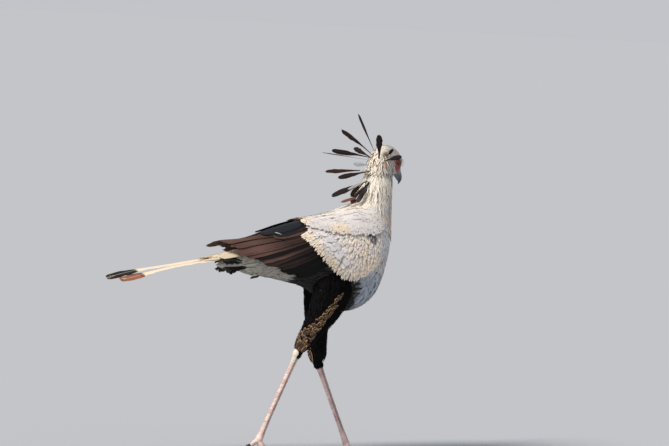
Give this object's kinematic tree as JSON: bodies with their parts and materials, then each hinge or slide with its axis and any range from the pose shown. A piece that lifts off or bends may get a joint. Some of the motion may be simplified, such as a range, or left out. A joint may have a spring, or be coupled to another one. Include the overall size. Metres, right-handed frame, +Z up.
{
  "type": "secretary bird",
  "caption": "Life-size walking secretary bird, still, with raised crest, folded wings, long middle tail feathers and bare shanks.",
  "frame": {"origin": "on the ground, at the bottom centre of the bird's own box", "axes": "+Z up, +X the way the bird walks, +Y to its left"},
  "size_m": [1.0952, 0.2292, 1.1113],
  "materials": {
    "contour_feathers": "soft pale grey-cream body feathers with buff tinges",
    "head_feathers": "short pale feathers, bare orange skin round the eye, black crest",
    "wing_feathers": "pale grey coverts and black flight feathers browned by wear",
    "tail_feathers": "whitish tail feathers with black bands and pale tips",
    "trousers": "dense black feathers with fine brown fringes",
    "leg_skin": "pinkish scaled skin, dry and matt",
    "bill_horn": "blue-grey horn, smooth, darker at the tip",
    "claw_horn": "dark blunt claws, worn at the tips",
    "eye": "wet brown eye"
  },
  "bodies": {
    "root": {"torso": "contour_feathers", "neck": "contour_feathers", "head": "head_feathers", "wing_right": "wing_feathers", "wing_left": "wing_feathers", "tail": "tail_feathers", "thigh_right": "trousers", "thigh_left": "trousers", "tarsus_right": "leg_skin", "tarsus_left": "leg_skin", "foot_right": "leg_skin", "foot_left": "leg_skin", "bill_upper": "bill_horn", "bill_lower": "bill_horn", "eye_right": "eye", "eye_left": "eye", "claw_middle_right": "claw_horn", "claw_inner_right": "claw_horn", "claw_outer_right": "claw_horn", "claw_hind_right": "claw_horn", "claw_middle_left": "claw_horn", "claw_inner_left": "claw_horn", "claw_outer_left": "claw_horn", "claw_hind_left": "claw_horn"}
  },
  "joints": []
}
